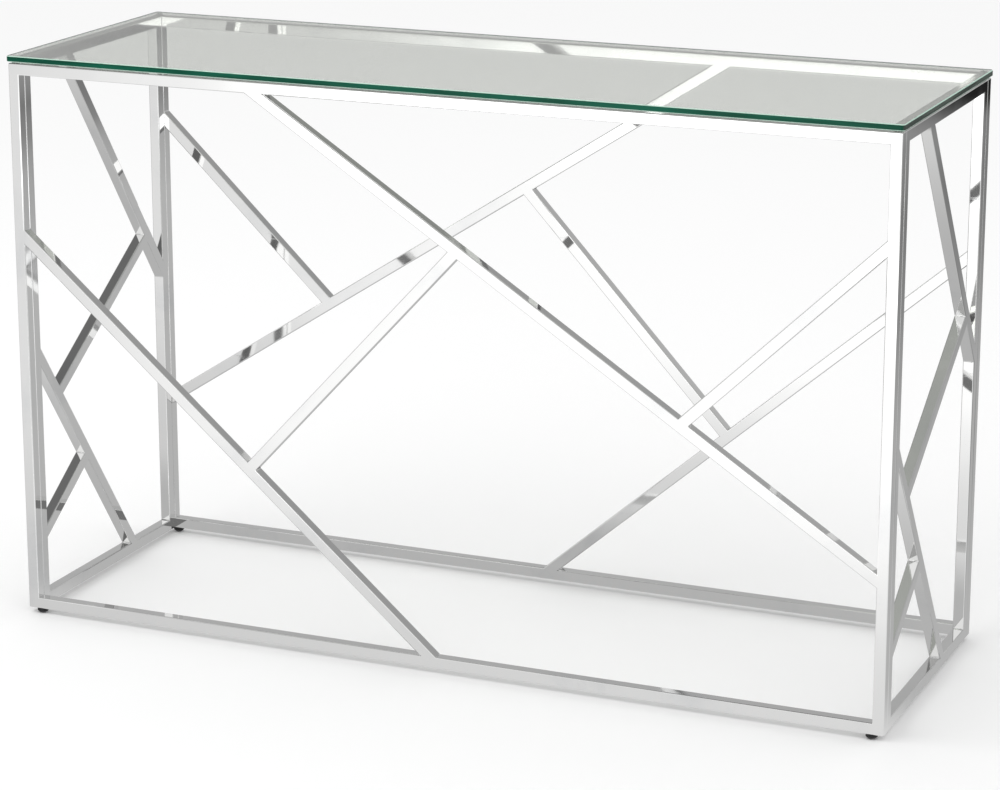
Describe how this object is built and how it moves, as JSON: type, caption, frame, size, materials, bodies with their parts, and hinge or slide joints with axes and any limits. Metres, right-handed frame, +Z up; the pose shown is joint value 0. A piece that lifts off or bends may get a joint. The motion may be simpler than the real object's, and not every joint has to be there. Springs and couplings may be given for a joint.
{
  "type": "console table",
  "caption": "Slim console table: four welded panels of polished square tube with slanted braces, a clear glass top on soft pads and screw-in levelling feet.",
  "frame": {"origin": "on the floor under the middle of the table", "axes": "+X along the table to the right seen from the front, +Y to the back, +Z up"},
  "size_m": [1.2, 0.4, 0.76],
  "materials": {
    "polished_steel": "mirror-polished stainless tube, seams ground flush",
    "glass": "clear float glass, green at its polished edge",
    "clear_pad": "clear soft polyurethane",
    "black_plastic": "moulded, satin",
    "zinc_steel": "zinc plated"
  },
  "bodies": {
    "root": {"back_brace_high": "polished_steel", "back_brace_link": "polished_steel", "back_brace_long": "polished_steel", "back_brace_low": "polished_steel", "back_post_left": "polished_steel", "back_post_right": "polished_steel", "back_rail_bottom": "polished_steel", "back_rail_top": "polished_steel", "front_brace_high": "polished_steel", "front_brace_link": "polished_steel", "front_brace_long": "polished_steel", "front_brace_low": "polished_steel", "front_post_left": "polished_steel", "front_post_right": "polished_steel", "front_rail_bottom": "polished_steel", "front_rail_top": "polished_steel", "glass_pad_back_left": "clear_pad", "glass_pad_back_right": "clear_pad", "glass_pad_front_left": "clear_pad", "glass_pad_front_right": "clear_pad", "glass_top": "glass", "left_brace_lower": "polished_steel", "left_brace_rung": "polished_steel", "left_brace_short": "polished_steel", "left_brace_upper": "polished_steel", "left_post_back": "polished_steel", "left_post_front": "polished_steel", "left_rail_bottom": "polished_steel", "left_rail_top": "polished_steel", "right_brace_lower": "polished_steel", "right_brace_rung": "polished_steel", "right_brace_short": "polished_steel", "right_brace_upper": "polished_steel", "right_post_back": "polished_steel", "right_post_front": "polished_steel", "right_rail_bottom": "polished_steel", "right_rail_top": "polished_steel", "weld_nuts": "zinc_steel"},
    "foot_stud_front_left": {"foot_stud_front_left": "zinc_steel"},
    "foot_pad_front_left": {"foot_pad_front_left": "black_plastic"},
    "foot_stud_front_right": {"foot_stud_front_right": "zinc_steel"},
    "foot_pad_front_right": {"foot_pad_front_right": "black_plastic"},
    "foot_stud_back_left": {"foot_stud_back_left": "zinc_steel"},
    "foot_pad_back_left": {"foot_pad_back_left": "black_plastic"},
    "foot_stud_back_right": {"foot_stud_back_right": "zinc_steel"},
    "foot_pad_back_right": {"foot_pad_back_right": "black_plastic"}
  },
  "joints": [
    {"name": "foot_extend_front_left", "type": "slide", "parent": "root", "child": "foot_stud_front_left", "axis": [0, 0, -1], "range_m": [0, 0.006]},
    {"name": "foot_turn_front_left", "type": "hinge", "parent": "foot_stud_front_left", "child": "foot_pad_front_left", "pos_m": [-0.581, -0.1905, 0], "axis": [0, 0, -1], "range_deg": [0, 2160]},
    {"name": "foot_extend_front_right", "type": "slide", "parent": "root", "child": "foot_stud_front_right", "axis": [0, 0, -1], "range_m": [0, 0.006]},
    {"name": "foot_turn_front_right", "type": "hinge", "parent": "foot_stud_front_right", "child": "foot_pad_front_right", "pos_m": [0.581, -0.1905, 0], "axis": [0, 0, -1], "range_deg": [0, 2160]},
    {"name": "foot_extend_back_left", "type": "slide", "parent": "root", "child": "foot_stud_back_left", "axis": [0, 0, -1], "range_m": [0, 0.006]},
    {"name": "foot_turn_back_left", "type": "hinge", "parent": "foot_stud_back_left", "child": "foot_pad_back_left", "pos_m": [-0.581, 0.1905, 0], "axis": [0, 0, -1], "range_deg": [0, 2160]},
    {"name": "foot_extend_back_right", "type": "slide", "parent": "root", "child": "foot_stud_back_right", "axis": [0, 0, -1], "range_m": [0, 0.006]},
    {"name": "foot_turn_back_right", "type": "hinge", "parent": "foot_stud_back_right", "child": "foot_pad_back_right", "pos_m": [0.581, 0.1905, 0], "axis": [0, 0, -1], "range_deg": [0, 2160]}
  ],
  "couplings": [
    {"joint": "foot_turn_front_left", "follows": "foot_extend_front_left", "rad_per_m": 6283.2},
    {"joint": "foot_turn_front_right", "follows": "foot_extend_front_right", "rad_per_m": 6283.2},
    {"joint": "foot_turn_back_left", "follows": "foot_extend_back_left", "rad_per_m": 6283.2},
    {"joint": "foot_turn_back_right", "follows": "foot_extend_back_right", "rad_per_m": 6283.2}
  ]
}
